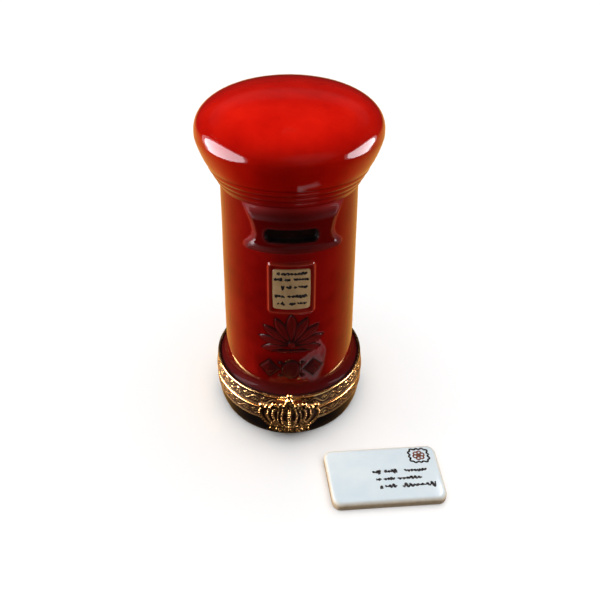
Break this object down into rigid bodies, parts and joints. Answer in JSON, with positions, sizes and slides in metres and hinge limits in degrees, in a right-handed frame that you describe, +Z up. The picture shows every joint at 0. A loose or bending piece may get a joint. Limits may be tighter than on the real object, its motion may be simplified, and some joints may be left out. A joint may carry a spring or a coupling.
{
  "type": "keepsake box",
  "caption": "Hinged porcelain keepsake box in the form of a red pillar mailbox, with brass bands, a crown clasp and a small porcelain letter beside it.",
  "frame": {"origin": "centre of the flat underside of the base dish, on the surface it stands on", "axes": "+Z up along the pillar's axis; -Y is the front, with the clasp, slot and notice; +Y is the back, with the hinge; the letter lies in front, to the right"},
  "size_m": [0.0565, 0.0633, 0.0827],
  "materials": {
    "red_glaze": "glossy red glaze, white inside",
    "black_glaze": "glossy black glaze, white inside",
    "white_glaze": "glossy white glaze, gold edge",
    "brass": "embossed, antiqued with a dark patina"
  },
  "bodies": {
    "base": {"base_dish": "black_glaze", "lower_band": "brass", "locating_collar": "brass", "catch_bead": "brass", "hinge_bearer_lower": "brass", "hinge_knuckle_left": "brass", "hinge_knuckle_right": "brass", "hinge_pin": "brass"},
    "pillar": {"pillar_shell": "red_glaze", "upper_band": "brass", "hinge_bearer_upper": "brass", "hinge_knuckle_middle": "brass", "clasp_tab": "brass", "crown_clasp": "brass"},
    "letter": {"letter": "white_glaze"}
  },
  "joints": [
    {"name": "pillar_hinge", "type": "hinge", "parent": "base", "child": "pillar", "pos_m": [0, 0.02135, 0.00995], "axis": [-1, 0, 0], "range_deg": [0, 95]},
    {"name": "letter_lift", "type": "slide", "parent": "base", "child": "letter", "axis": [0, 0, 1], "range_m": [0, 0.03]}
  ]
}
